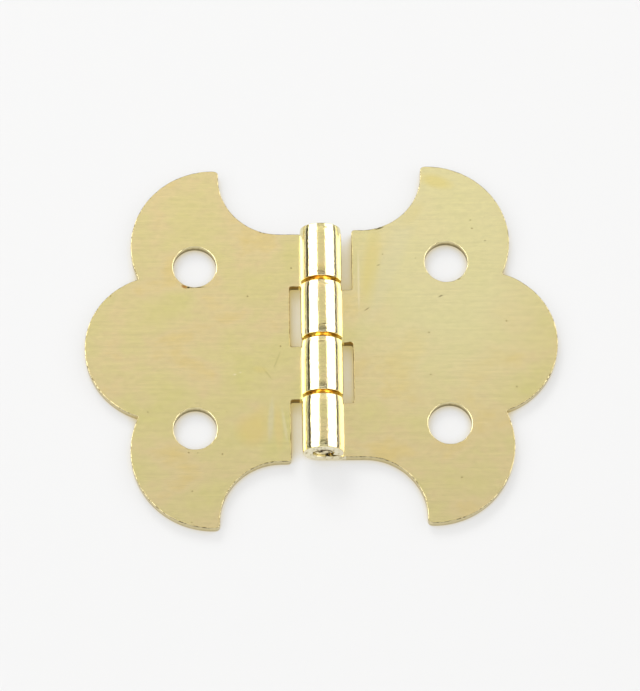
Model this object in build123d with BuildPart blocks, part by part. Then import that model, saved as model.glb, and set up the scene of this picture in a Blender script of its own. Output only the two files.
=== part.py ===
from build123d import *
from math import asin, degrees
import os

os.makedirs("parts", exist_ok=True)

# A small scalloped hinge for boxes and cabinets, stamped from thin brass plated steel and shown open flat.
# Two leaves from the same die are turned half a turn to each other about one headless pin.
# Each leaf has two tabs rolled into knuckles. The pin lies along Y, and +Z is the side the knuckles stand on.
# The origin is under the middle of the pin, on the flat back of the leaves.

# Sheet, pin and fit
sheet = 0.9
pin_diameter = 1.8
running_clearance = 0.03

# The punch enters from the back and draws that edge in, and leaves the front edge nearly sharp
back_edge = 0.12
front_edge = 0.05

# Knuckles, four along the pin, two of them on each leaf
knuckle_length = 4.95
knuckle_gap = 0.34
seam_gap = 0.06

# Outline of one leaf: x is measured from the pin and y along it from the leaf's middle.
# The waist is flush with its own end knuckle and stands a little past the other leaf's
leaf_width = 20.65
waist_overhang = 0.38
middle_lobe_radius = 6.7
side_lobe_radius = 7.15
side_lobe_x = 9.5
side_lobe_y = 9.5
bay_radius = 5.35
bay_x = 3.6
tip_radius = 0.45
nick_radius = 0.12

# Slots that the other leaf's knuckles stand in, and the screw holes
slot_edge = 2.75
slot_corner = 0.25
outer_corner = 0.35
hole_diameter = 3.8
hole_x = 11.05
hole_spacing = 15.1

# The pin is swaged a little fatter where the end knuckle grips it, and cropped just inside both ends
grip_length = 2.4
grip_taper = 0.3
grip_inset = 1.0
grip_interference = 0.01
pin_recess = 0.18
pin_end_break = 0.15

# Sizes that follow from those above
bore_radius = pin_diameter / 2 + running_clearance
roll_radius = bore_radius + sheet
barrel_length = 4 * knuckle_length + 3 * knuckle_gap
pitch = knuckle_length + knuckle_gap
end_knuckle_y = -(barrel_length - knuckle_length) / 2
inner_knuckle_y = end_knuckle_y + 2 * pitch
waist_height = barrel_length + waist_overhang
leaf_y = waist_overhang / 2
waist_top = leaf_y + waist_height / 2
body_x = leaf_width - middle_lobe_radius
slot_top = inner_knuckle_y - knuckle_length / 2
slot_low = end_knuckle_y + knuckle_length / 2
notch_low = inner_knuckle_y + knuckle_length / 2
pin_axis = Axis((0, 0, roll_radius), (0, 1, 0))

# A tab goes under the pin, up the far side and over the top, and ends just above its own leaf
roll_arc = 270 + degrees(asin((bore_radius - seam_gap) / roll_radius))

# Right leaf: blanked flat, then both tabs rolled over the pin
with BuildPart() as right_leaf:
    with BuildSketch() as blank:
        with Locations((body_x / 2, leaf_y)):
            Rectangle(body_x, waist_height)
        with Locations((body_x, leaf_y)):
            Circle(middle_lobe_radius)
        with Locations((side_lobe_x, leaf_y - side_lobe_y), (side_lobe_x, leaf_y + side_lobe_y)):
            Circle(side_lobe_radius)
        # Concave bays above and below the waist, tangent to its straight edges
        for side in (-1, 1):
            bay_y = leaf_y + side * (waist_height / 2 + bay_radius)
            with Locations((bay_x, bay_y)):
                Circle(bay_radius, mode=Mode.SUBTRACT)
            with Locations((bay_x / 2, bay_y)):
                Rectangle(bay_x, 2 * bay_radius, mode=Mode.SUBTRACT)
        tips = blank.vertices().sort_by(Axis.Y)
        fillet([tips[0], tips[-1]], radius=tip_radius)
        # The nicks between the lobes are almost sharp, as a punch leaves them
        nicks = blank.vertices().sort_by(Axis.X)[-2:]
        fillet(nicks, radius=nick_radius)
        # The slot between the tabs and the open notch above them
        with Locations((0, (slot_top + slot_low) / 2)):
            RectangleRounded(2 * slot_edge, slot_top - slot_low, slot_corner, mode=Mode.SUBTRACT)
        notch_height = 2 * (waist_top - notch_low)
        with Locations((0, waist_top)):
            RectangleRounded(2 * slot_edge, notch_height, slot_corner, mode=Mode.SUBTRACT)
        notch_corner = blank.vertices().sort_by_distance((slot_edge, waist_top))[0]
        fillet(notch_corner, radius=outer_corner)
        with Locations((hole_x, leaf_y - hole_spacing / 2), (hole_x, leaf_y + hole_spacing / 2)):
            Circle(hole_diameter / 2, mode=Mode.SUBTRACT)
    extrude(amount=sheet)
    # Every edge of both faces but the roots of the tabs, which go on into the roll
    flats = faces().sort_by(Axis.Z)
    back_outline = flats[0].edges().filter_by(lambda edge: edge.center().X > front_edge)
    front_outline = flats[-1].edges().filter_by(lambda edge: edge.center().X > front_edge)
    chamfer(back_outline, length=back_edge)
    chamfer(front_outline, length=front_edge)

    # The tab's own section, with the same edges, turned about the pin until its free end nears the leaf
    with BuildSketch(Plane.YZ):
        with Locations((end_knuckle_y, sheet / 2), (inner_knuckle_y, sheet / 2)):
            Rectangle(knuckle_length, sheet)
        corners = vertices().group_by(Axis.Y)
        chamfer(corners[0], length=back_edge)
        chamfer(corners[-1], length=front_edge)
    revolve(axis=pin_axis, revolution_arc=roll_arc)
right_leaf.part.label = "right_leaf"

# Left leaf: the same stamping turned half a turn
with BuildPart() as left_leaf:
    add(right_leaf.part, rotation=(0, 0, 180))
left_leaf.part.label = "left_leaf"

# Pin: plain wire with the swaged grip inside the right leaf's end knuckle
pin_radius = pin_diameter / 2
grip_radius = bore_radius + grip_interference
pin_half = barrel_length / 2 - pin_recess
grip_low = -barrel_length / 2 + grip_inset
grip_top = grip_low + grip_length
with BuildPart() as hinge_pin:
    with BuildSketch(Plane.YZ):
        with BuildLine():
            Polyline(
                (-pin_half, roll_radius),
                (-pin_half, roll_radius + pin_radius),
                (grip_low, roll_radius + pin_radius),
                (grip_low + grip_taper, roll_radius + grip_radius),
                (grip_top - grip_taper, roll_radius + grip_radius),
                (grip_top, roll_radius + pin_radius),
                (pin_half, roll_radius + pin_radius),
                (pin_half, roll_radius),
                close=True,
            )
        make_face()
    revolve(axis=pin_axis)
    ends = edges().filter_by(GeomType.CIRCLE).sort_by(Axis.Y)
    chamfer([ends[0], ends[-1]], length=pin_end_break)
hinge_pin.part.label = "hinge_pin"

export_step(left_leaf.part, "parts/left_leaf.step")
export_step(right_leaf.part, "parts/right_leaf.step")
export_step(hinge_pin.part, "parts/hinge_pin.step")
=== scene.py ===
# %% [markdown]
# # A scalloped box hinge in brass plated steel
#
# The real hinge is three pieces: two leaves stamped with the same die, and a plain wire pin. Each leaf is
# blanked flat, tumbled until its edges are round, plated, and then its two tabs are rolled over the pin.
# This lesson makes the pieces the same way, a flat blank that is rolled by a formula, and then gives them
# the finish of bright plating over brushed steel.
#
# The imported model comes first. It says where every body is and how large the hinge may be.

# %% Load the frame
import bpy
import bmesh
import math
from mathutils import Matrix, Vector, noise
from mathutils.geometry import tessellate_polygon


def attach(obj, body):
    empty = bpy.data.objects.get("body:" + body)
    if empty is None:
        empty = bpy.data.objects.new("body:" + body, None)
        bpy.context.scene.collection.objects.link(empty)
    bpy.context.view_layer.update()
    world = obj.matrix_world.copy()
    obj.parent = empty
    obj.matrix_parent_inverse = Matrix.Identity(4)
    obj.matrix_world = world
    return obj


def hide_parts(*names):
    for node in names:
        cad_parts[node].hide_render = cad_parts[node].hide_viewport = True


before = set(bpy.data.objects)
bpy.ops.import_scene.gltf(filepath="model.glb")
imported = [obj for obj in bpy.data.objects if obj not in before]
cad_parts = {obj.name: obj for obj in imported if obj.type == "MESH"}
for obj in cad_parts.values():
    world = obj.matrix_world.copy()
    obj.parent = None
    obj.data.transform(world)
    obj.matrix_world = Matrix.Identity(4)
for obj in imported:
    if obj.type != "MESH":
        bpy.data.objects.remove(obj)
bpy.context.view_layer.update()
MM = 0.001

# %% [markdown]
# ## The camera
#
# The photograph looks down on the hinge from the near end of the pin, 21 degrees off the vertical, through
# a long lens that hardly narrows the far side. The values were found by laying the drawn outline over the
# photographed one until the two agreed to within a pixel. A camera's own axes are turned in three steps:
# a small turn of the hinge on the table, the tilt, and a slight lean to one side.

# %% Camera
PHOTO_HEIGHT = 691
SENSOR = 36.0
focal_pixels = 4540.8
camera_distance = 396.9 * MM
table_turn, camera_tilt, camera_lean = math.radians(-0.34), math.radians(21.0), math.radians(-1.29)
aim = Vector((-0.124, 0.236, 0)) * MM

turn = (Matrix.Rotation(table_turn, 3, "Z") @ Matrix.Rotation(camera_tilt, 3, "X")
        @ Matrix.Rotation(camera_lean, 3, "Y"))
camera_data = bpy.data.cameras.new("camera")
# The picture is taller than it is wide, so Blender lays the sensor's size along its height
camera_data.sensor_width = SENSOR
camera_data.lens = SENSOR * focal_pixels / PHOTO_HEIGHT
camera_data.clip_start = 0.01
camera = bpy.data.objects.new("camera", camera_data)
bpy.context.collection.objects.link(camera)
camera.matrix_world = Matrix.Translation(turn @ (aim + Vector((0, 0, camera_distance)))) @ turn.to_4x4()
bpy.context.scene.camera = camera
print("camera at mm:", [round(value / MM, 1) for value in camera.matrix_world.translation])

# %% [markdown]
# ## Nodes and colours
#
# Three small helpers serve every material. Colours are written as sRGB hex values, as a paint or a screen
# gives them, and Blender works in linear light, so one function turns the first into the second. Another
# adds a node with its settings and links. The third starts a material with its shader.

# %% Helpers for materials
def linear(hex_colour):
    """A hex colour as the linear RGBA that shaders work in."""
    channels = [int(hex_colour[i:i + 2], 16) / 255 for i in (1, 3, 5)]
    return [c / 12.92 if c <= 0.04045 else ((c + 0.055) / 1.055) ** 2.4 for c in channels] + [1.0]


def add_node(tree, kind, inputs=None, stops=(), **settings):
    """Adds one node. An input's value is a number, a hex colour, or another node's output socket.

    A colour ramp's stops are pairs of its position and a hex colour or a grey from 0 to 1.
    """
    node = tree.nodes.new(kind)
    for name, value in settings.items():
        setattr(node, name, value)
    for name, value in (inputs or {}).items():
        if isinstance(value, bpy.types.NodeSocket):
            tree.links.new(value, node.inputs[name])
        else:
            node.inputs[name].default_value = linear(value) if isinstance(value, str) else value
    if stops:
        elements = node.color_ramp.elements
        while len(elements) < len(stops):
            elements.new(0.5)
        for element, (position, colour) in zip(elements, stops):
            element.position = position
            element.color = linear(colour) if isinstance(colour, str) else (colour, colour, colour, 1)
    return node


def new_material(name):
    """An empty material with a metal-ready shader, and its tree."""
    material = bpy.data.materials.new(name)
    material.use_nodes = True
    tree = material.node_tree
    tree.nodes.clear()
    shader = add_node(tree, "ShaderNodeBsdfPrincipled")
    add_node(tree, "ShaderNodeOutputMaterial", {"Surface": shader.outputs["BSDF"]})
    return material, tree, shader


print("#808080 in linear light:", round(linear("#808080")[0], 3))

# %% [markdown]
# ## The table and the light
#
# A small shiny thing shows the room more than itself, so the room matters here. The photograph was taken
# on a white table under two tall soft boxes, one each side of the pin. Their mirror images are the two
# white bands along the barrel. Straight across from the camera hang two dimmer, warmer panels. The flat
# leaves and the middle of the barrel mirror those, and so they look like plain brass. The rest of the room
# is dark. Between each soft box and the table it shows as the thin dark line along a side of the barrel.
#
# The other panels matter less to the photograph: a strip overhead, one panel in front and one behind, and
# four low ones at the corners, which the leaves mirror when they are seen from a low angle. One small light
# behind on the left is kept out of the mirror images. It only draws the soft shadows on the table.

# %% Table
table_size = 3.0
table_drop = 0.02 * MM
paper_glow, paper_roughness = 0.608, 0.9
# How near a wall has to be for the painted shade and warm bounce light on the paper
painted_bounce_reach = 2.5 * MM

# Matt white paper looks the same from every side. A glow of its own keeps it as even as the photograph's
table_material, table_tree, table_shader = new_material("white_paper_table")
# Painted shade and bounce light: between close brass walls the paper's glow turns dimmer and takes on their
# colour
closeness = add_node(table_tree, "ShaderNodeAmbientOcclusion", {"Distance": painted_bounce_reach}, samples=8)
glow = add_node(table_tree, "ShaderNodeValToRGB", {"Fac": closeness.outputs["AO"]}, stops=[
    (0.28, "#E8D080"), (0.62, "#FFFFFF")])
table_tree.links.new(glow.outputs["Color"], table_shader.inputs["Emission Color"])
table_shader.inputs["Base Color"].default_value = linear("#606060")
table_shader.inputs["Emission Strength"].default_value = paper_glow
table_shader.inputs["Roughness"].default_value = paper_roughness
table_mesh = bpy.data.meshes.new("table")
half = table_size / 2
table_corners = [(-half, -half, 0), (half, -half, 0), (half, half, 0), (-half, half, 0)]
table_mesh.from_pydata(table_corners, [], [(0, 1, 2, 3)])
table_mesh.materials.append(table_material)
table = bpy.data.objects.new("table", table_mesh)
# A hair lower than the leaves' backs, because two faces at one height would mix
table.location.z = -table_drop
bpy.context.collection.objects.link(table)
print("table in m:", table_size, "square")

# %% Soft boxes and room
light_distance = 1.0
warm_white = "#F4EEDA"


def panel(name, across, along, width, height, brightness, colour="#FFFFFF", mirrored=True):
    """A glowing rectangle a metre away. All four sizes are angles in degrees, seen from the hinge.

    across tilts it from the zenith towards +x, and along towards +y. A brightness of 1 is paper white.
    A panel that is not mirrored lights the table, but no metal shows its image.
    """
    data = bpy.data.lights.new(name, "AREA")
    data.shape = "RECTANGLE"
    data.size = 2 * light_distance * math.tan(math.radians(width / 2))
    data.size_y = 2 * light_distance * math.tan(math.radians(height / 2))
    data.energy = brightness * math.pi * data.size * data.size_y
    data.color = linear(colour)[:3]
    light = bpy.data.objects.new(name, data)
    light.visible_camera = False
    light.visible_glossy = mirrored
    swing = Matrix.Rotation(math.radians(across), 4, "Y") @ Matrix.Rotation(math.radians(-along), 4, "X")
    light.matrix_world = swing @ Matrix.Translation((0, 0, light_distance))
    bpy.context.collection.objects.link(light)


room_brightness = 0.06
world = bpy.data.worlds.new("room")
world.use_nodes = True
world.node_tree.nodes["Background"].inputs["Color"].default_value = linear("#F4F4F2")
world.node_tree.nodes["Background"].inputs["Strength"].default_value = room_brightness
bpy.context.scene.world = world
bpy.context.scene.view_settings.view_transform = "Standard"

panel("across_from_camera", 1.5, 19.5, 47, 12, 0.78, warm_white)
panel("across_and_higher", 4, 30, 47, 9, 1.15, warm_white)
panel("left_box", -46.5, 4, 46, 76, 4.2)
panel("right_box", 51.5, 4, 50, 76, 3.1)
panel("overhead_strip", 0, -1, 40, 19, 0.95)
panel("front_panel", 0, -49, 40, 40, 1.6)
panel("back_panel", 0, 56, 40, 40, 0.6)
panel("shadow_light", -18, 48, 24, 24, 20.0, mirrored=False)
for across in (-68, 68):
    for along in (-48, 48):
        panel("corner_panel", across, along, 36, 30, 0.6, warm_white)

# %% [markdown]
# ## The blank
#
# A leaf starts as a flat blank: three lobes, two bays, two screw holes and two tabs. All of its outline is
# arcs and straight lines, so it is drawn with arcs, worked out from the sizes that a die maker would give.
# x runs from the pin outwards and y along the pin. Left of x = 0 lie the two tabs, still unrolled.

# %% Sizes of the leaf, in mm
sheet = 0.9
bore_radius = 0.93
seam_gap = 0.06
roll_radius = bore_radius + sheet
knuckle_length, knuckle_gap = 4.95, 0.34
barrel_length = 4 * knuckle_length + 3 * knuckle_gap
waist_overhang = 0.38
waist_height = barrel_length + waist_overhang
leaf_y = waist_overhang / 2
waist_low, waist_top = leaf_y - waist_height / 2, leaf_y + waist_height / 2
leaf_width = 20.65
middle_lobe_radius = 6.7
side_lobe_x, side_lobe_y, side_lobe_radius = 9.5, 9.5, 7.15
bay_x, bay_radius = 3.6, 5.35
slot_edge = 2.75
hole_radius, hole_x, hole_spacing = 1.9, 11.05, 15.1
tip_radius, nick_radius, slot_corner, outer_corner, tab_corner = 0.45, 0.12, 0.25, 0.35, 0.15
# The tab goes three quarters round the pin and on, until its end is a seam gap above its own leaf
roll_arc = math.radians(270) + math.asin((bore_radius - seam_gap) / roll_radius)
middle_of_sheet = roll_radius - sheet / 2
tab_run = middle_of_sheet * roll_arc
end_knuckle = (-barrel_length / 2, -barrel_length / 2 + knuckle_length)
inner_knuckle = tuple(y + 2 * (knuckle_length + knuckle_gap) for y in end_knuckle)
print("tab to be rolled in mm:", round(tab_run, 2), "knuckles from and to:", end_knuckle, inner_knuckle)

# %% [markdown]
# ## Drawing the outline
#
# Each stretch of the outline is a run of points, and each corner between two runs has its own small radius:
# the tips and the nicks are nearly sharp, as the punch leaves them. A corner is rounded by cutting both runs
# back by its tangent length and bridging the gap with a short curve.

# %% Lines and arcs
arc_step = math.radians(2.5)


def line(start_x, start_y, end_x, end_y):
    return [Vector((start_x, start_y)), Vector((end_x, end_y))]


def arc(centre, radius, start, end):
    """Points on an arc from one angle to another, in radians, both ends included."""
    steps = max(2, round(abs(end - start) / arc_step))
    angles = [start + (end - start) * i / steps for i in range(steps + 1)]
    return [Vector((centre[0] + radius * math.cos(a), centre[1] + radius * math.sin(a))) for a in angles]


def crossing(first_centre, first_radius, second_centre, second_radius, pick):
    """Where two circles cross. pick chooses the crossing that is furthest along that direction."""
    a, b = Vector(first_centre), Vector(second_centre)
    gap = (b - a).length
    along = (first_radius ** 2 - second_radius ** 2 + gap ** 2) / (2 * gap)
    out = math.sqrt(first_radius ** 2 - along ** 2)
    forward = (b - a).normalized()
    sideways = Vector((-forward.y, forward.x))
    both = [a + forward * along + sideways * out * side for side in (-1, 1)]
    return max(both, key=Vector(pick).dot)


def angle_from(centre, point):
    return math.atan2(point[1] - centre[1], point[0] - centre[0])


print("points on a quarter of a circle:", len(arc((0, 0), 1, 0, math.pi / 2)))

# %% Corners
# Points closer than this, in mm, count as one
touching = 1e-4


def cut_back(points, distance):
    """The run without its first stretch of that length."""
    rest = list(points)
    while (rest[1] - rest[0]).length <= distance:
        distance -= (rest[1] - rest[0]).length
        rest.pop(0)
    rest[0] = rest[0] + (rest[1] - rest[0]).normalized() * distance
    return rest


def join_runs(runs):
    """One closed outline from runs of points, each with the radius of the corner at its end."""
    runs = [(list(points), radius) for points, radius in runs]
    bridges = []
    for i, (points, radius) in enumerate(runs):
        following = runs[(i + 1) % len(runs)][0]
        corner = following[0].copy()
        turned = (points[-1] - points[-2]).angle(following[1] - following[0])
        reach = radius * math.tan(turned / 2)
        bridge = []
        if reach > 0:
            points[:] = cut_back(points[::-1], reach)[::-1]
            following[:] = cut_back(following, reach)
            start, end = points[-1], following[0]
            for t in (0.2, 0.4, 0.6, 0.8):
                bridge.append(start * (1 - t) ** 2 + corner * 2 * t * (1 - t) + end * t ** 2)
        bridges.append(bridge)
    joined = [point for (points, radius), bridge in zip(runs, bridges) for point in points + bridge]
    return [here for here, after in zip(joined, joined[1:] + joined[:1]) if (after - here).length > touching]


# %% Outline of the blank
def blank_outline():
    """The blank's outline, anticlockwise from the free end of the near tab."""
    low_lobe, high_lobe = (side_lobe_x, leaf_y - side_lobe_y), (side_lobe_x, leaf_y + side_lobe_y)
    low_bay, high_bay = (bay_x, waist_low - bay_radius), (bay_x, waist_top + bay_radius)
    middle = (leaf_width - middle_lobe_radius, leaf_y)
    low_tip = crossing(low_bay, bay_radius, low_lobe, side_lobe_radius, (0, -1))
    high_tip = crossing(high_bay, bay_radius, high_lobe, side_lobe_radius, (0, 1))
    low_nick = crossing(low_lobe, side_lobe_radius, middle, middle_lobe_radius, (1, 0))
    high_nick = crossing(high_lobe, side_lobe_radius, middle, middle_lobe_radius, (1, 0))
    # Up the outside, from the near end of the waist round the lobes to the far end
    runs = [(line(-tab_run, waist_low, bay_x, waist_low), 0)]
    runs.append((arc(low_bay, bay_radius, math.pi / 2, angle_from(low_bay, low_tip)), tip_radius))
    for centre, radius, start, end, corner in (
            (low_lobe, side_lobe_radius, low_tip, low_nick, nick_radius),
            (middle, middle_lobe_radius, low_nick, high_nick, nick_radius),
            (high_lobe, side_lobe_radius, high_nick, high_tip, tip_radius)):
        runs.append((arc(centre, radius, angle_from(centre, start), angle_from(centre, end)), corner))
    runs.append((arc(high_bay, bay_radius, angle_from(high_bay, high_tip), -math.pi / 2), 0))
    runs.append((line(bay_x, waist_top, slot_edge, waist_top), outer_corner))
    # Back down the pin's side: into the notch, round the inner tab, into the slot and round the end tab
    above = waist_top
    for low, high in (inner_knuckle, end_knuckle):
        runs.append((line(slot_edge, above, slot_edge, high), slot_corner))
        runs.append((line(slot_edge, high, -tab_run, high), tab_corner))
        runs.append((line(-tab_run, high, -tab_run, low), tab_corner))
        runs.append((line(-tab_run, low, slot_edge, low), slot_corner))
        above = low
    # The end tab is flush with the waist, so the first run starts where that last one would
    runs.pop()
    return join_runs(runs)


outline = blank_outline()
print("outline points:", len(outline))

# %% [markdown]
# ## From blank to mesh
#
# The blank gets its thickness and its round edges together. Every loop of the drawing, the outline and the
# two holes, becomes a ladder of rings that climbs from the back face round the edge to the front face. A
# ring stands back from the outline by as much as the edge is round there. The faces between the innermost
# rings are filled flat. The punch enters from the back and draws that edge in a little. It leaves at the
# front, where the edge stays nearly sharp but uneven, so its roundness wanders along the outline.

# %% Rings round the edge
front_round, back_round = 0.05, 0.08
round_steps = 4
longest_step = 0.25
# The front edge's roundness wanders by up to about this share, in waves of about half a millimetre
wear_share, waves_per_mm = 1.2, 2.1


def finely(loop):
    """The same loop with points added until no two are further apart than longest_step."""
    points = []
    for here, after in zip(loop, loop[1:] + loop[:1]):
        steps = math.ceil((after - here).length / longest_step)
        points += [here.lerp(after, i / steps) for i in range(steps)]
    return points


def edge_profile(wear):
    """(how far in from the outline, height) of each ring, from the back face to the front face."""
    front = front_round * wear
    quarter = [math.pi / 2 * i / round_steps for i in range(round_steps + 1)]
    back_rings = [(back_round * (1 - math.sin(a)), back_round * (1 - math.cos(a))) for a in quarter]
    front_rings = [(front * (1 - math.cos(a)), sheet - front * (1 - math.sin(a))) for a in quarter]
    return back_rings + front_rings


def outward(loop):
    """The direction out of the metal at each point of a loop that has the metal on its left."""
    normals = []
    for before, here, after in zip(loop[-1:] + loop[:-1], loop, loop[1:] + loop[:1]):
        ahead = (here - before).normalized() + (after - here).normalized()
        normals.append(Vector((ahead.y, -ahead.x)).normalized())
    return normals


print("rings up the edge:", len(edge_profile(1.0)), "points round the outline:", len(finely(outline)))


# %% The flat blank as a mesh
def flat_blank():
    """A bmesh of the unrolled leaf, in mm, with its back on z = 0."""
    mesh = bmesh.new()
    holes = [arc((hole_x, leaf_y + s * hole_spacing / 2), hole_radius, 2 * math.pi, 0)[:-1] for s in (-1, 1)]
    loops = [finely(outline)] + holes
    back_loops, front_loops = [], []
    for loop in loops:
        ladders = []
        for point, normal in zip(loop, outward(loop)):
            wear = 1 + wear_share * noise.noise(Vector((*point, 0)) * waves_per_mm)
            spots = [(*(point - normal * inset), height) for inset, height in edge_profile(wear)]
            ladders.append([mesh.verts.new(spot) for spot in spots])
        rings = list(zip(*ladders))
        for step, (low, high) in enumerate(zip(rings, rings[1:])):
            for i in range(len(loop)):
                j = (i + 1) % len(loop)
                face = mesh.faces.new((low[i], low[j], high[j], high[i]))
                face.material_index = 1 if step >= round_steps else 0
        # The shading breaks where the round edge meets the flat, so that the flat shades as a true plane
        for ring in (rings[0], rings[-1]):
            for here, after in zip(ring, ring[1:] + ring[:1]):
                mesh.edges.get((here, after)).smooth = False
        back_loops.append(rings[0])
        front_loops.append(rings[-1])
    for face_loops in (back_loops, front_loops):
        corners = [vertex for loop in face_loops for vertex in loop]
        for triangle in tessellate_polygon([[vertex.co for vertex in loop] for loop in face_loops]):
            mesh.faces.new([corners[i] for i in triangle])
    bmesh.ops.recalc_face_normals(mesh, faces=mesh.faces)
    return mesh


# %% [markdown]
# ## Rolling the knuckles
#
# On the real hinge a tool curls each tab round a mandrel. Here a formula does it: a point's distance along
# the tab becomes an angle about the pin, and its height in the sheet becomes its distance from the pin. The
# flat tabs are first cut across into narrow strips, because a mesh can only bend at its vertices. Rolling
# also draws the ends of a knuckle in a little, so its outside is very slightly crowned near both ends.

# %% Cut a mesh across
def slice_mesh(mesh, place, normal, wanted):
    """Cuts the faces that the plane crosses and that wanted accepts."""
    axis = 0 if normal[0] else 1
    faces = []
    for face in mesh.faces:
        reach = [vertex.co[axis] for vertex in face.verts]
        if min(reach) < place[axis] - touching and max(reach) > place[axis] + touching and wanted(face):
            faces.append(face)
    edges = {edge for face in faces for edge in face.edges}
    verts = {vertex for face in faces for vertex in face.verts}
    cut = faces + list(edges) + list(verts)
    bmesh.ops.bisect_plane(mesh, geom=cut, dist=touching / 10, plane_co=place, plane_no=normal)


def on_tab(face):
    return min(vertex.co.x for vertex in face.verts) < 0


def anywhere(face):
    return True


# %% Roll the tabs
strip_angle = math.radians(4)
crown_reach, crown_drop = 0.9, 0.06
# Where the crown is cut across so that it can bend, as shares of its reach
crown_cuts = (0.35, 0.55, 0.8, 1.1)


def crown(y):
    """How far the outside of a knuckle stands in at y, in mm."""
    ends = end_knuckle + inner_knuckle
    near = max(0.0, 1 - min(abs(y - end) for end in ends) / crown_reach)
    return crown_drop * near ** 2


def rolled(point):
    """Where a point of the flat blank lies once its tab is rolled about the pin."""
    x, y, z = point
    if x >= 0:
        return Vector(point)
    angle = -x / middle_of_sheet
    z += crown(y) * (1 - z / sheet) * min(1.0, angle)
    from_pin = roll_radius - z
    return Vector((-from_pin * math.sin(angle), y, roll_radius - from_pin * math.cos(angle)))


def leaf_mesh():
    """The finished leaf in metres, with the pin along y."""
    mesh = flat_blank()
    for end in end_knuckle + inner_knuckle:
        inwards = 1 if end in (end_knuckle[0], inner_knuckle[0]) else -1
        for share in crown_cuts:
            slice_mesh(mesh, (0, end + inwards * crown_reach * share, 0), (0, 1, 0), on_tab)
    strips = math.ceil(roll_arc / strip_angle)
    for i in range(strips):
        slice_mesh(mesh, (-tab_run * i / strips, 0, 0), (1, 0, 0), anywhere)
    for vertex in mesh.verts:
        vertex.co = rolled(vertex.co) * MM
    return mesh


print("strips in a tab:", math.ceil(roll_arc / strip_angle))


# %% Both leaves
def new_piece(name, mesh, body, node):
    """A shaded object from a bmesh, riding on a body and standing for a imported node."""
    data = bpy.data.meshes.new(name)
    mesh.to_mesh(data)
    mesh.free()
    data.shade_smooth()
    piece = bpy.data.objects.new(name, data)
    bpy.context.collection.objects.link(piece)
    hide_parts(node)
    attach(piece, body)
    return piece


right_mesh = leaf_mesh()
left_mesh = right_mesh.copy()
bmesh.ops.rotate(left_mesh, cent=(0, 0, 0), matrix=Matrix.Rotation(math.pi, 3, "Z"), verts=left_mesh.verts)
print("leaf faces:", len(right_mesh.faces))
right_plate = new_piece("right_leaf_plate", right_mesh, "right_leaf", "right_leaf")
left_plate = new_piece("left_leaf_plate", left_mesh, "left_leaf", "left_leaf")

# %% [markdown]
# ## The pin
#
# The pin is a length of wire, cropped at both ends. Between the knuckles it shows only as a dark amber line.
# Its ends are what the shears left: a broken face with pits, a little inside the end knuckles. It is turned
# like a lathe profile, and its end faces are rings of points that noise pushes in and out.

# %% Sizes of the pin, in mm
pin_radius = 0.9
pin_recess = 0.18
pin_half = barrel_length / 2 - pin_recess
pin_end_round = 0.12
pin_sides = 72
# The swaged grip inside the right leaf's end knuckle fills its bore and a hair more
grip_radius = bore_radius + 0.008
grip_inset, grip_length, grip_taper = 1.0, 2.4, 0.3
grip_low = -barrel_length / 2 + grip_inset
grip_top = grip_low + grip_length
# The torn ends: how deep, and how many lumps there are in a millimetre
end_depth, end_grain = 0.16, 1.7
# Rings across an end face, as shares of the radius, closer together towards the rim
end_shares = (0.12, 0.24, 0.36, 0.48, 0.6, 0.7, 0.78)
print("pin length in mm:", round(2 * pin_half, 2))


# %% Pin
def sheared(x, z, end):
    """How far the broken end of the wire stands in at a point of it, in mm."""
    # The two ends are taken 14 mm apart in the noise, so that they differ
    place = Vector((x, z, 7.0 * end)) * end_grain
    grain = noise.fractal(place, 0.8, 2.2, 4)
    return end_depth * max(0.0, 0.25 + 0.75 * grain) * (1 - 0.5 * (x * x + z * z) / pin_radius ** 2)


def pin_mesh():
    """The wire in metres, turned from a profile of (radius, y, which end it is on)."""
    mesh = bmesh.new()
    rings = []
    end_rings = [(pin_radius * share, 0.0) for share in end_shares]
    for a in [math.pi / 2 * i / round_steps for i in range(round_steps + 1)]:
        end_rings.append((pin_radius - pin_end_round * (1 - math.sin(a)), pin_end_round * (1 - math.cos(a))))
    profile = [(r, -pin_half + y, -1) for r, y in end_rings]
    profile += [(pin_radius, grip_low, 0), (grip_radius, grip_low + grip_taper, 0)]
    profile += [(grip_radius, grip_top - grip_taper, 0), (pin_radius, grip_top, 0)]
    profile += [(r, pin_half - y, 1) for r, y in reversed(end_rings)]
    for radius, y, end in profile:
        ring = []
        for i in range(pin_sides):
            a = 2 * math.pi * i / pin_sides
            x, z = radius * math.cos(a), radius * math.sin(a)
            inwards = sheared(x, z, end) * min(1.0, (pin_radius - radius) / pin_end_round) if end else 0.0
            ring.append(mesh.verts.new((x, y - end * inwards, roll_radius + z)))
        rings.append(ring)
    for low, high in zip(rings, rings[1:]):
        for i in range(pin_sides):
            j = (i + 1) % pin_sides
            mesh.faces.new((low[i], low[j], high[j], high[i]))
    for ring, end in ((rings[0], -1), (rings[-1], 1)):
        middle = mesh.verts.new((0, end * (pin_half - sheared(0, 0, end)), roll_radius))
        for i in range(pin_sides):
            mesh.faces.new((ring[i], ring[(i + 1) % pin_sides], middle))
    bmesh.ops.recalc_face_normals(mesh, faces=mesh.faces)
    for vertex in mesh.verts:
        vertex.co *= MM
    return mesh


pin = new_piece("pin_wire", pin_mesh(), "right_leaf", "hinge_pin")
print("pin in mm:", [round(value / MM, 2) for value in pin.dimensions])

# %% [markdown]
# ## Brass plating on brushed steel
#
# The leaves are mild steel, plated with a few microns of brass. The plating copies what lies under it: the
# sheet was brushed along x before it was blanked, so fine scratches run that way, and the light spreads
# across them. Bright plating varies a little in thickness, which shifts its colour between a greenish and a
# rosier yellow in soft patches, and leaves the right leaf paler than the left. A cloth has left smears near
# the pin. Where the roll pressed the sheet against its tool, the scratches are gone and the barrel is a
# mirror with a slightly grained skin.
#
# The colour is painted in layers, as a picture is. Noise patterns at their real size make the patches, the
# lines and the grain, and soft ovals put each mark of use where the photograph shows it.

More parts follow.
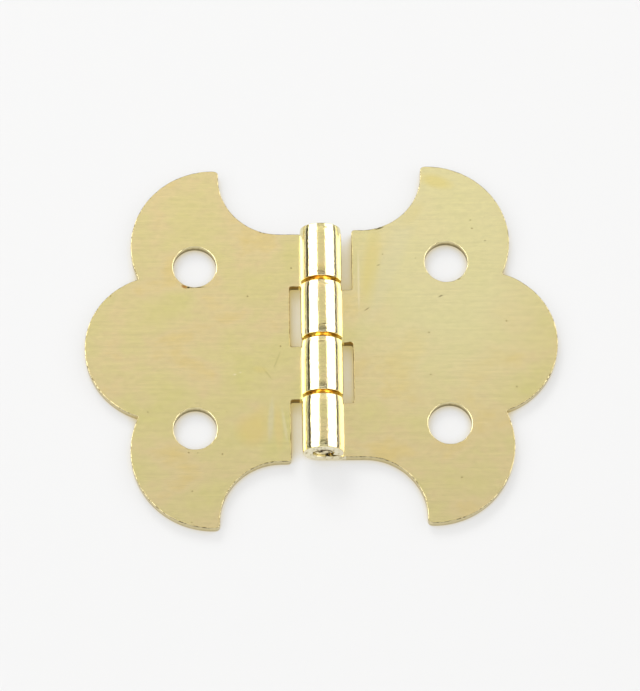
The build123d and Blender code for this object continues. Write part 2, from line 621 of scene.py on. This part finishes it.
# %% Patterns, ovals and layers
def patches(tree, place, size, detail, stretch=(1, 1, 1)):
    """A soft noise with blotches of that size in mm, drawn out by stretch."""
    scale = [1 / (size * MM * s) for s in stretch]
    mapping = add_node(tree, "ShaderNodeMapping", {"Vector": place, "Scale": scale})
    grain = add_node(tree, "ShaderNodeTexNoise", {
        "Vector": mapping.outputs["Vector"], "Scale": 1.0, "Detail": detail})
    return grain.outputs["Fac"]


def oval(tree, place, x, y, half_length, half_width, turned, strength):
    """The strength inside a soft edged oval at (x, y) and 0 outside it. Sizes in mm, turned in degrees."""
    centred = add_node(tree, "ShaderNodeMapping", {
        "Vector": place, "Location": (x * MM, y * MM, 0), "Rotation": (0, 0, math.radians(turned)),
        "Scale": (half_length * MM, half_width * MM, 1)}, vector_type="TEXTURE")
    reach = add_node(tree, "ShaderNodeVectorMath", {0: centred.outputs["Vector"]}, operation="LENGTH")
    edge = add_node(tree, "ShaderNodeMapRange", {
        "Value": reach.outputs["Value"], "From Min": 1.0, "From Max": 0.4, "To Max": strength})
    return edge.outputs["Result"]


def painted(tree, ground, layers):
    """Lays layers of (colour, share from 0 to 1, way of mixing) over a ground, from the lowest one up."""
    for colour, share, way in layers:
        # This node has its two colours at inputs 6 and 7, and the mixed one at output 2
        mix = add_node(tree, "ShaderNodeMix", {
            0: share, 6: ground, 7: colour}, data_type="RGBA", blend_type=way)
        ground = mix.outputs[2]
    return ground


# %% Marks on the leaves
# x, y, half length and half width in mm, angle in degrees, colour, strength
marks = [
    # Brown stain and dark specks at the holes of the left leaf
    (-11.95, 5.50, 0.36, 0.20, -25, "#B98438", 0.9),
    (-11.60, 5.42, 0.16, 0.12, 0, "#2E2614", 0.95),
    (-11.70, -9.50, 0.22, 0.13, -30, "#3A3424", 0.95),
    # Specks on the right leaf
    (12.15, 6.09, 0.20, 0.05, 25, "#6E6338", 0.8),
    (14.53, 9.71, 0.07, 0.07, 0, "#5E5430", 0.8),
    # Polishing smears and scratches on the left leaf, and two painted glints: bright flecks of reflected
    # light
    (-6.1, -7.9, 1.8, 1.8, 0, "#F1DC92", 0.5),
    (-5.4, -6.6, 0.9, 1.3, -20, "#F1DE9C", 0.35),
    (-3.85, -7.6, 0.5, 2.4, 3, "#F4DEA2", 0.5),
    (-4.5, -7.0, 0.34, 2.4, -4, "#E8E3C8", 0.5),
    (-3.3, -7.5, 0.20, 2.0, 8, "#F0EACC", 0.4),
    (-3.9, -1.4, 0.10, 1.1, -20, "#CFC68C", 0.45),
    (-4.75, -2.7, 0.12, 0.8, 38, "#CFC68C", 0.45),
    (-5.4, -2.3, 0.8, 0.4, -8, "#EADE98", 0.45),
    (-7.6, -2.75, 0.16, 0.05, 20, "#FFF8E0", 0.9),
    (-7.1, -2.55, 0.10, 0.05, 20, "#FFF8E0", 0.9),
    # Polishing smears on the right leaf, and a dark stain at its bay
    (10.3, 15.4, 1.9, 0.8, -16, "#F0E08E", 0.5),
    (8.0, 12.2, 0.8, 1.9, -38, "#F0E29C", 0.35),
    (5.2, 10.93, 0.5, 0.09, 17, "#2E2818", 0.9),
    (3.33, 5.9, 0.13, 3.2, 0, "#FBF4DC", 0.45),
    (4.4, 7.1, 1.0, 5.0, -7, "#EFE090", 0.42),
    (6.2, 8.0, 1.3, 9.0, -21, "#E9E4C6", 0.32),
    # Short scratches on the right leaf
    (10.5, 4.5, 0.28, 0.06, 25, "#5E5430", 0.8),
    (4.0, 3.3, 0.34, 0.05, 35, "#8A7C48", 0.8),
    (5.1, 7.45, 0.18, 0.05, 15, "#8A7C48", 0.7),
    # Painted shade: a dark line along the lower rim of the left leaf's upper hole
    (-10.9, 5.42, 0.95, 0.06, 3, "#3E3418", 0.9),
    # Painted dark reflections on the barrel near the ends of the knuckles, where the crowned ends mirror the
    # dark gaps between the lights
    (0.42, 9.98, 0.24, 0.10, 0, "#4A3C20", 0.8),
    (0.42, 4.68, 0.26, 0.09, 0, "#4A3C20", 0.8),
    (-0.1, -0.72, 0.45, 0.07, 0, "#4A3C20", 0.8),
    (-0.7, 6.1, 0.35, 0.05, 8, "#6A5A38", 0.8),
    (0.25, 0.9, 0.40, 0.06, 0, "#4A3C20", 0.8),
    (-0.95, -4.42, 0.32, 0.05, 0, "#5A4A2C", 0.8),
    (0.17, -10.15, 0.12, 0.10, 0, "#4A3C20", 0.8),
]
print("marks:", len(marks))

# %% Leaf material
leaf_roughness, barrel_roughness = 0.22, 0.06
# Depth in mm of the barrel's grain, and of the leaf's scratches as a share of it
grain_depth, scratch_share = 0.013, 0.12


def pits_in_plating(tree, place):
    """A share that is 1 in a few small pits: some cells of a 1.22 mm pattern hold one, 0.13 mm across."""
    cells = add_node(tree, "ShaderNodeMapping", {"Vector": place, "Scale": [1 / (1.2195 * MM)] * 3})
    pits = add_node(tree, "ShaderNodeTexVoronoi", {"Vector": cells.outputs["Vector"], "Scale": 1.0})
    dot = add_node(tree, "ShaderNodeMapRange", {
        "Value": pits.outputs["Distance"], "From Min": 0.07, "From Max": 0.04})
    chosen = add_node(tree, "ShaderNodeMath", {0: pits.outputs["Color"], 1: 0.62}, operation="GREATER_THAN")
    pit = add_node(tree, "ShaderNodeMath", {
        0: dot.outputs["Result"], 1: chosen.outputs[0]}, operation="MULTIPLY")
    return pit.outputs[0]


def plating_colour(tree, place):
    """The colour of the plating, with all that lies on it."""
    # Thickness of the plating: blotches 3.85 mm across, a little drawn out along the brushing
    thickness = patches(tree, place, 3.846, 4.0, stretch=(1.3, 1, 1))
    drift = add_node(tree, "ShaderNodeValToRGB", {"Fac": thickness}, stops=[
        (0.30, "#EAE3A6"), (0.42, "#EDE3AD"), (0.50, "#EEE2B0"), (0.58, "#F1E1B4"), (0.70, "#F2DFA6")])
    # The right leaf is a little paler and more even, up to a soft border near the pin
    paler = oval(tree, place, 11, 9, 11, 18, 0, 0.75)
    # Brushing: lines 0.167 mm apart and 4.7 mm long. Real ones are finer, too fine to show in the picture
    lines = patches(tree, place, 0.1667, 2.0, stretch=(28, 1, 1))
    brushing = add_node(tree, "ShaderNodeValToRGB", {"Fac": lines}, stops=[(0.30, 0.96), (0.70, 1.0)])
    # Mottling: the tumbled skin of the steel, in specks 0.4 mm across
    skin = patches(tree, place, 0.4, 3.0, stretch=(1.6, 1, 1))
    mottling = add_node(tree, "ShaderNodeValToRGB", {"Fac": skin}, stops=[(0.35, 0.965), (0.62, 1.0)])
    layers = [
        ("#F4EFC3", paler, "MIX"),
        (brushing.outputs["Color"], 1.0, "MULTIPLY"),
        (mottling.outputs["Color"], 1.0, "MULTIPLY"),
        ("#A8975C", pits_in_plating(tree, place), "MIX")]
    for x, y, half_length, half_width, turned, tint, strength in marks:
        layers.append((tint, oval(tree, place, x, y, half_length, half_width, turned, strength), "MIX"))
    return painted(tree, drift.outputs["Color"], layers)


def plating_relief(tree, place, on_leaf):
    """Fine scratches on the flat leaf, and grain on the barrel, where the sheet was stretched."""
    # Scratches: 0.091 mm wide, which is one pixel of the photograph, and 5 mm long
    scratches = patches(tree, place, 0.0909, 3.0, stretch=(55, 1, 1))
    # Orange peel: grains of the steel 0.154 mm across
    peel = patches(tree, place, 0.1538, 4.0)
    shallow = add_node(tree, "ShaderNodeMath", {0: scratches, 1: scratch_share}, operation="MULTIPLY")
    relief = add_node(tree, "ShaderNodeMix", {"Factor": on_leaf, "A": peel, "B": shallow.outputs[0]})
    bump = add_node(tree, "ShaderNodeBump", {
        "Height": relief.outputs["Result"], "Strength": 1.0, "Distance": grain_depth * MM})
    return bump.outputs["Normal"]


def plated_leaf_material():
    """Brass plate on brushed mild steel: a warm mirror, blurred and finely lined along x on the leaf."""
    material, tree, shader = new_material("brass_plating_on_brushed_steel")
    place = add_node(tree, "ShaderNodeTexCoord").outputs["Object"]
    # The leaf turns into the barrel just above its own front face
    height = add_node(tree, "ShaderNodeSeparateXYZ", {"Vector": place}).outputs["Z"]
    on_leaf = add_node(tree, "ShaderNodeMapRange", {
        "Value": height, "From Min": (sheet + 0.3) * MM, "From Max": (sheet + 0.05) * MM}).outputs["Result"]
    gloss = add_node(tree, "ShaderNodeMapRange", {
        "Value": on_leaf, "To Min": barrel_roughness, "To Max": leaf_roughness})
    tree.links.new(plating_colour(tree, place), shader.inputs["Base Color"])
    tree.links.new(gloss.outputs["Result"], shader.inputs["Roughness"])
    tree.links.new(plating_relief(tree, place, on_leaf), shader.inputs["Normal"])
    shader.inputs["Metallic"].default_value = 1.0
    return material


leaf_material = plated_leaf_material()
print(leaf_material.name, "has", len(leaf_material.node_tree.nodes), "nodes")

# %% [markdown]
# ## The cut edges
#
# The punch slides past the upper part of the wall and burnishes it, and the rest tears off below. Plating
# covers both. It is thin at the rim, where dark specks of steel show. Walls that face each other closely,
# between the knuckles and in the slots, get painted light and shade: deeper and more golden, as where the
# light goes from brass to brass, with painted bright and dark patches between the knuckles. That colour is
# painted in, since it takes more bounces than a render follows. So is the painted shade at the dark foot of
# the screw holes' walls, which mirrors the wall across the hole.

# %% Zones of the wall
# How far they reach, in mm from the middle of the pin
knuckle_zone, barrel_zone, slot_zone = 1.9, 10.1, slot_edge + 0.01
hole_reach = hole_radius + 0.25


def within(tree, coordinate, limit, fade=0.1):
    """1 where a coordinate is less than the limit from 0, in mm, falling to 0 over the fade."""
    distance = add_node(tree, "ShaderNodeMath", {0: coordinate}, operation="ABSOLUTE")
    share = add_node(tree, "ShaderNodeMapRange", {
        "Value": distance.outputs[0], "From Min": (limit + fade) * MM, "From Max": limit * MM})
    return share.outputs["Result"]


print("screw holes' zone in mm:", round(hole_x - hole_reach, 2), "to", round(hole_x + hole_reach, 2))


# %% Layers of the wall
def speckled_wall(tree, place, level, ragged):
    """The outer wall: torn below, burnished above, with specks of bare steel at the rim."""
    # The last two stops meet at 1, so that everything above has the last colour
    wall = add_node(tree, "ShaderNodeValToRGB", {"Fac": ragged}, stops=[
        (0.35, "#C4B276"), (0.90, "#DED09A"), (1.0, "#EADCAE"), (1.0, "#D2C494")])
    # Specks 0.167 mm across, nearly all of them at the rim
    specks = add_node(tree, "ShaderNodeValToRGB", {"Fac": patches(tree, place, 0.1667, 2.0)}, stops=[
        (0.42, 1.0), (0.52, 0.0)])
    at_rim = add_node(tree, "ShaderNodeValToRGB", {"Fac": level}, stops=[(0.86, 0.12), (0.94, 0.95)])
    bare = add_node(tree, "ShaderNodeMath", {
        0: specks.outputs["Color"], 1: at_rim.outputs["Color"]}, operation="MULTIPLY")
    return painted(tree, wall.outputs["Color"], [("#52421E", bare.outputs[0], "MIX")])


def hole_shade_layer(tree, across, beside_barrel, ragged):
    """Painted shade on the walls of the screw holes, which get darker towards the table and have no specks.
    """
    hole_wall_with_shade = add_node(tree, "ShaderNodeValToRGB", {"Fac": ragged}, stops=[
        (0.30, "#5E5430"), (0.62, "#8C7E4E"), (0.95, "#CDBE8A"), (1.0, "#E0D4A4")])
    near, far = within(tree, across, hole_x - hole_reach), within(tree, across, hole_x + hole_reach)
    in_row = add_node(tree, "ShaderNodeMath", {0: far, 1: near}, operation="SUBTRACT")
    in_hole = add_node(tree, "ShaderNodeMath", {0: in_row.outputs[0], 1: beside_barrel}, operation="MULTIPLY")
    return hole_wall_with_shade.outputs["Color"], in_hole.outputs[0], "MIX"


def painted_brass_bounce_layer(tree, place, across, up, level, knuckle, beside_barrel):
    """Painted light and shade where walls face other brass: gold between two knuckles, deep brown in the
    slots below the rim.
    """
    # Painted highlights and shade: patches 0.455 mm across, bright and dark by turns
    painted_gap_light = add_node(tree, "ShaderNodeValToRGB", {"Fac": patches(tree, place, 0.4545, 2.0)}, stops=[
        (0.36, "#8A6A20"), (0.43, "#F4CC64"), (0.50, "#FFE88C"), (0.60, "#FFF2A8"), (0.68, "#DEE084")])
    # Painted shade in the slots, darker towards the table
    painted_slot_shade = add_node(tree, "ShaderNodeValToRGB", {"Fac": level}, stops=[(0.1, "#5E4A18"), (0.8, "#9A7A30")])
    between = painted(tree, painted_slot_shade.outputs["Color"], [(painted_gap_light.outputs["Color"], knuckle, "MIX")])
    by_slot, under_rim = within(tree, across, slot_zone, 0.04), within(tree, up, sheet - 0.02, 0.02)
    slot_wall = add_node(tree, "ShaderNodeMath", {0: by_slot, 1: under_rim}, operation="MULTIPLY")
    either = add_node(tree, "ShaderNodeMath", {0: slot_wall.outputs[0], 1: knuckle}, operation="MAXIMUM")
    inside = add_node(tree, "ShaderNodeMath", {0: beside_barrel, 1: either.outputs[0]}, operation="MULTIPLY")
    return between, inside.outputs[0], "MIX"


# %% Cut edge material
edge_roughness = 0.3
tear_depth = 0.012


def cut_edge_material():
    """Brass plate on sheared mild steel: duller than the leaf, finely torn, with a dark broken rim."""
    material, tree, shader = new_material("brass_plating_on_sheared_edge")
    place = add_node(tree, "ShaderNodeTexCoord").outputs["Object"]
    across, along, up = add_node(tree, "ShaderNodeSeparateXYZ", {"Vector": place}).outputs
    # Tears: 0.25 mm wide and three times as high. They make the bands of the wall ragged
    tears = patches(tree, place, 0.25, 3.0, stretch=(1, 1, 3))
    level = add_node(tree, "ShaderNodeMath", {0: up, 1: 1 / (sheet * MM)}, operation="MULTIPLY").outputs[0]
    ragged = add_node(tree, "ShaderNodeMath", {
        0: tears, 1: 0.5, 2: level}, operation="MULTIPLY_ADD").outputs[0]
    # The ends of the knuckles, as they look at both ends of the barrel
    knuckle_end = add_node(tree, "ShaderNodeValToRGB", {"Fac": tears}, stops=[
        (0.34, "#BFB084"), (0.42, "#EBE2BE"), (0.65, "#F8F0D4")])
    knuckle, beside_barrel = within(tree, across, knuckle_zone), within(tree, along, barrel_zone)
    colour = painted(tree, speckled_wall(tree, place, level, ragged), [
        hole_shade_layer(tree, across, beside_barrel, ragged),
        (knuckle_end.outputs["Color"], knuckle, "MIX"),
        painted_brass_bounce_layer(tree, place, across, up, level, knuckle, beside_barrel)])
    tree.links.new(colour, shader.inputs["Base Color"])
    bump = add_node(tree, "ShaderNodeBump", {"Height": tears, "Strength": 1.0, "Distance": tear_depth * MM})
    tree.links.new(bump.outputs["Normal"], shader.inputs["Normal"])
    shader.inputs["Roughness"].default_value = edge_roughness
    shader.inputs["Metallic"].default_value = 1.0
    return material


edge_material = cut_edge_material()
for plate in (left_plate, right_plate):
    plate.data.materials.append(leaf_material)
    plate.data.materials.append(edge_material)
print(edge_material.name, "has", len(edge_material.node_tree.nodes), "nodes")

# %% [markdown]
# ## The wire
#
# The wire was plated before it was cropped. Its side is smooth drawn brass plate, seen only in the deep gaps
# between knuckles. Its ends are bare torn steel, smeared with a little brass by the shears.

# %% Pin material
side_roughness, end_roughness = 0.18, 0.5
# The ends begin just behind the deepest pit
end_start = pin_half - end_depth - 0.01


def pin_material():
    """Brass plated steel wire: smooth and golden along its side, dull and pitted at its cropped ends."""
    material, tree, shader = new_material("brass_plated_wire")
    place = add_node(tree, "ShaderNodeTexCoord").outputs["Object"]
    along = add_node(tree, "ShaderNodeSeparateXYZ", {"Vector": place}).outputs["Y"]
    far = add_node(tree, "ShaderNodeMath", {0: along}, operation="ABSOLUTE").outputs[0]
    on_end = add_node(tree, "ShaderNodeMapRange", {
        "Value": far, "From Min": (end_start - 0.02) * MM, "From Max": end_start * MM}).outputs["Result"]
    # Torn steel in lumps 0.417 mm across, dark in its pits and pale where it was smeared
    torn = add_node(tree, "ShaderNodeValToRGB", {"Fac": patches(tree, place, 0.4167, 4.0)}, stops=[
        (0.40, "#1E1408"), (0.45, "#6A5630"), (0.49, "#D8CCA4"), (0.62, "#F6EFD8")])
    # Dark brown and bright golden patches on the side, 1.11 mm across
    side = add_node(tree, "ShaderNodeValToRGB", {"Fac": patches(tree, place, 1.111, 3.0)}, stops=[
        (0.38, "#A86C18"), (0.46, "#FFD060"), (0.62, "#FFE894")])
    colour = painted(tree, side.outputs["Color"], [(torn.outputs["Color"], on_end, "MIX")])
    tree.links.new(colour, shader.inputs["Base Color"])
    gloss = add_node(tree, "ShaderNodeMapRange", {
        "Value": on_end, "To Min": side_roughness, "To Max": end_roughness})
    tree.links.new(gloss.outputs["Result"], shader.inputs["Roughness"])
    shader.inputs["Metallic"].default_value = 1.0
    return material


wire_material = pin_material()
pin.data.materials.append(wire_material)
print(wire_material.name, "has", len(wire_material.node_tree.nodes), "nodes")
